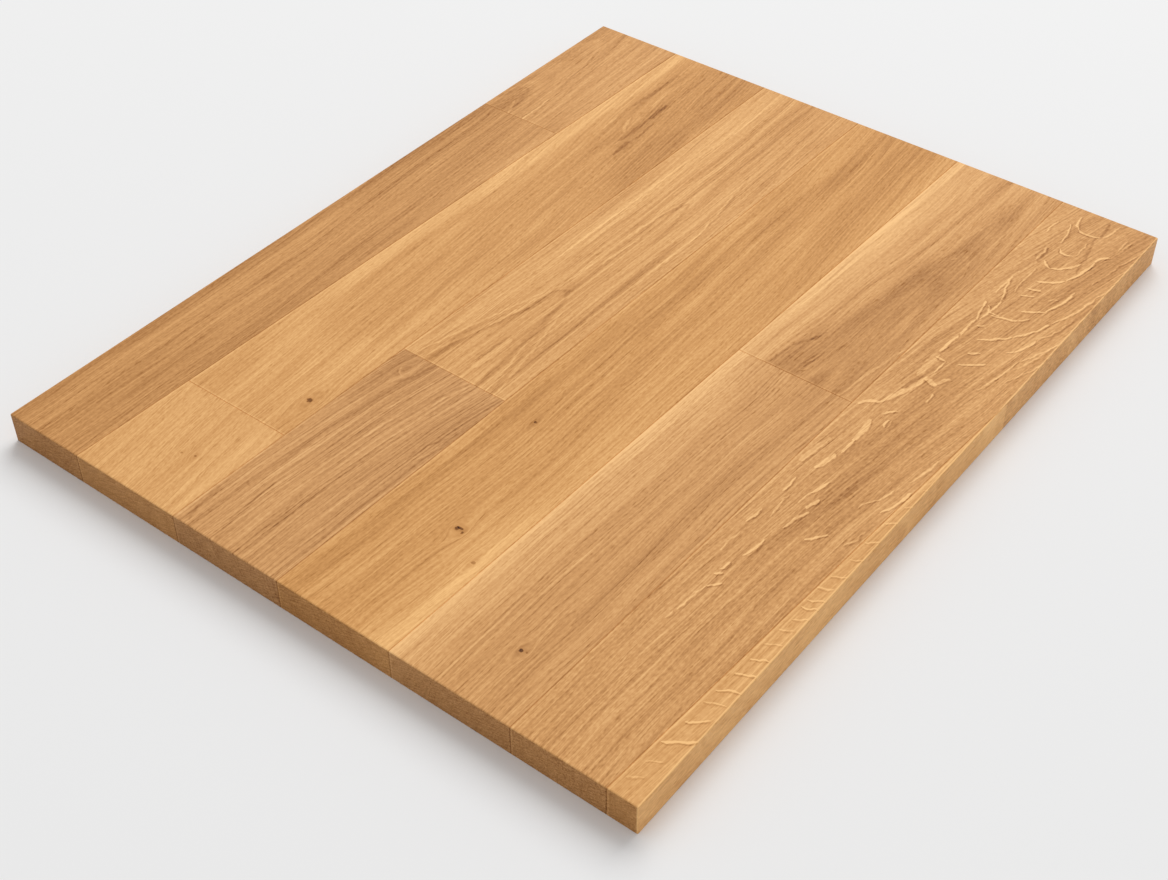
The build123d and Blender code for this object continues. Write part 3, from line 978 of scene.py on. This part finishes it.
def oak(stave, seed):
    """The oak of one stave, with its own cut, streaks, knots and flecks."""
    material = bpy.data.materials.new("oak " + stave.node)
    material.use_nodes = True
    tree = material.node_tree
    shader = tree.nodes["Principled BSDF"]
    where = tree.nodes.new("ShaderNodeTexCoord")
    setting_out = place(
        tree, "ShaderNodeMapping",
        {
            "Vector": where.outputs["Object"], "Location": row_corner(stave.row),
            "Rotation": (0, 0, -LAY_ANGLE), "Scale": (MILLIMETRE,) * 3,
        },
        vector_type="TEXTURE",
    ).outputs[0]
    middle = sum(span(stave.node)) / 2
    flecks = tone_of_flecks(tree, setting_out, stave.flecks, seed)
    streaks = tone_of_streaks(tree, setting_out, stave.streaks, seed)

    bent = setting_out
    knots = []
    for knot in stave.knots:
        wires = {"Stave": bent, "Across": knot.across, "Along": knot.along, "Radius": knot.radius}
        sockets = use(tree, PIN_KNOT, wires)
        bent = sockets["Stave"]
        knots.append((sockets, knot.tone))
    flow = {"Stave": bent, "Middle": middle, "Lean": stave.lean, "Curve": stave.curve, "Seed": seed}
    grain = use(tree, GRAIN_FLOW, flow)["Grain"]
    rings = use(
        tree, GROWTH_RINGS,
        {
            "Stave": grain, "Middle": middle, "Pith Across": stave.pith_across,
            "Pith Depth": stave.pith_depth, "Pith Dip": stave.pith_dip, "Ring Width": stave.ring_width,
            "Waver": stave.ring_waver, "Seed": seed,
        },
    )
    fine = use(
        tree, PORES_AND_FIBRES,
        {"Grain": grain, "Early Wood": rings["Early Wood"], "Year": rings["Year"], "Seed": seed},
    )

    faces = use(tree, FACES, {"Stave": setting_out, "Normal": where.outputs["Normal"], "Seed": seed})
    ring_offset = -EARLY_WOOD_SHARE * stave.ring_tone
    figure = calc(tree, "MULTIPLY_ADD", rings["Early Wood"], stave.ring_tone, ring_offset)
    figure = calc(tree, "MULTIPLY_ADD", fine["Line"], stave.line_tone, figure)
    figure = calc(tree, "MULTIPLY_ADD", fine["Band"], stave.band_tone, figure)
    figure = calc(tree, "ADD", figure, calc(tree, "ADD", streaks, stave.tone))
    figure = calc(tree, "MULTIPLY", figure, calc(tree, "MULTIPLY_ADD", faces["End"], -END_FIGURE_LOST, 1.0))
    tone = calc(tree, "MULTIPLY_ADD", flecks, faces["Flat"], figure)
    tone = calc(tree, "MULTIPLY_ADD", fine["Dash"], stave.dash_tone, tone)
    tone = calc(tree, "MULTIPLY_ADD", fine["Mottle"], stave.mottle_tone, tone)
    tone = calc(tree, "MULTIPLY_ADD", fine["Pores"], stave.pore_tone, tone)
    for sockets, knot_tone in knots:
        tone = calc(tree, "MULTIPLY_ADD", sockets["Halo"], HALO_STRENGTH * knot_tone, tone)
        tone = calc(tree, "MULTIPLY_ADD", sockets["Core"], knot_tone, tone)
    joints = use(tree, JOINT_LINES, {"Stave": setting_out, "Side Face": faces["Side"], **joints_of(stave)})
    # Painted highlights along the joints and along the edge at the saw cut.
    tone = calc(tree, "MULTIPLY_ADD", joints["Joint Highlight"], JOINT_HIGHLIGHT_TONE, tone)
    tone = calc(tree, "MULTIPLY_ADD", joints["Sawn Edge Highlight"], SAWN_EDGE_HIGHLIGHT_TONE, tone)
    tone = calc(tree, "MULTIPLY_ADD", joints["Glue"], GLUE_TONE, tone)
    # End grain, its saw marks, and painted light on the side faces.
    tone = calc(tree, "ADD", tone, faces["End Grain And Side Light"])

    colour = {"Tone": tone, "Saturation": stave.saturation, "Lightness": faces["Lightness"]}
    feed(tree, shader.inputs["Base Color"], use(tree, OAK_COLOUR, colour)["Color"])
    roughness = calc(tree, "MULTIPLY_ADD", fine["Pores"], PORE_ROUGHNESS, ROUGHNESS)
    feed(tree, shader.inputs["Roughness"], roughness)
    shader.inputs["Specular IOR Level"].default_value = SPECULAR_LEVEL
    pits = calc(tree, "MULTIPLY", fine["Pores"], PORE_HEIGHT)
    height = calc(tree, "MULTIPLY_ADD", fine["Dash"], DASH_HEIGHT, pits)
    relief = {"Strength": BUMP_STRENGTH, "Distance": BUMP_DEPTH, "Height": height}
    feed(tree, shader.inputs["Normal"], place(tree, "ShaderNodeBump", relief).outputs[0])
    return material


# Every stave has its own place in the random figure.
FIRST_SEED = 3.0
SEED_STEP = 10.0

for number, stave in enumerate(STAVES):
    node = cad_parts[stave.node]
    node.data.materials.clear()
    node.data.materials.append(oak(stave, SEED_STEP * number + FIRST_SEED))


# Studio floor, light and camera.
FLOOR_SIZE = 8.0
FLOOR_GAP = 0.0001
FLOOR_COLOUR = (0.885, 0.885, 0.885, 1)
FLOOR_ROUGHNESS = 0.9
DOME_COLOUR = (1, 1, 1, 1)
DOME_STRENGTH = 0.57
BACKDROP_STRENGTH = 0.80  # what the camera and gloss see of the dome
KEY_DIRECTION = (-0.20, 0.63, 0.75)
KEY_DISTANCE = 7.0
KEY_SIZE = 5.0
KEY_POWER = 294.0
CAMERA_PLACE = (0.4525, -0.6072, 0.6184)
CAMERA_TURN = (47.753, 0.242, 37.837)
FIELD_OF_VIEW = 36.35


def lay_floor():
    """A plain pale floor under the panel."""
    bpy.ops.object.select_all(action="DESELECT")
    bpy.ops.mesh.primitive_plane_add(size=FLOOR_SIZE, location=(0, 0, cad_low.z - FLOOR_GAP))
    floor = bpy.context.object
    floor.name = "floor"
    paint = bpy.data.materials.new("pale floor")
    paint.use_nodes = True
    shader = paint.node_tree.nodes["Principled BSDF"]
    shader.inputs["Base Color"].default_value = FLOOR_COLOUR
    shader.inputs["Roughness"].default_value = FLOOR_ROUGHNESS
    shader.inputs["Specular IOR Level"].default_value = 0.0
    floor.data.materials.append(paint)


def light_studio():
    """A soft dome of light, and one large soft lamp high behind the panel, a little to the left."""
    world = bpy.data.worlds.new("studio dome")
    world.use_nodes = True
    dome = world.node_tree.nodes["Background"]
    dome.inputs["Color"].default_value = DOME_COLOUR
    rays = world.node_tree.nodes.new("ShaderNodeLightPath").outputs
    seen = calc(world.node_tree, "MAXIMUM", rays["Is Camera Ray"], rays["Is Glossy Ray"])
    seen = calc(world.node_tree, "MAXIMUM", seen, rays["Is Transmission Ray"])
    extra = BACKDROP_STRENGTH - DOME_STRENGTH
    strength = calc(world.node_tree, "MULTIPLY_ADD", seen, extra, DOME_STRENGTH)
    feed(world.node_tree, dome.inputs["Strength"], strength)
    bpy.context.scene.world = world
    lamp = bpy.data.lights.new("softbox", "AREA")
    lamp.size = KEY_SIZE
    lamp.energy = KEY_POWER
    softbox = bpy.data.objects.new("softbox", lamp)
    bpy.context.scene.collection.objects.link(softbox)
    direction = Vector(KEY_DIRECTION).normalized()
    softbox.location = direction * KEY_DISTANCE
    softbox.rotation_euler = direction.to_track_quat("Z", "Y").to_euler()


def set_camera():
    """The photograph's view, from the near right-hand side."""
    camera = bpy.data.objects.new("camera", bpy.data.cameras.new("camera"))
    bpy.context.scene.collection.objects.link(camera)
    camera.location = CAMERA_PLACE
    camera.rotation_euler = [radians(turn) for turn in CAMERA_TURN]
    camera.data.angle = radians(FIELD_OF_VIEW)
    bpy.context.scene.camera = camera


lay_floor()
light_studio()
set_camera()
bpy.context.scene.view_settings.view_transform = "Standard"
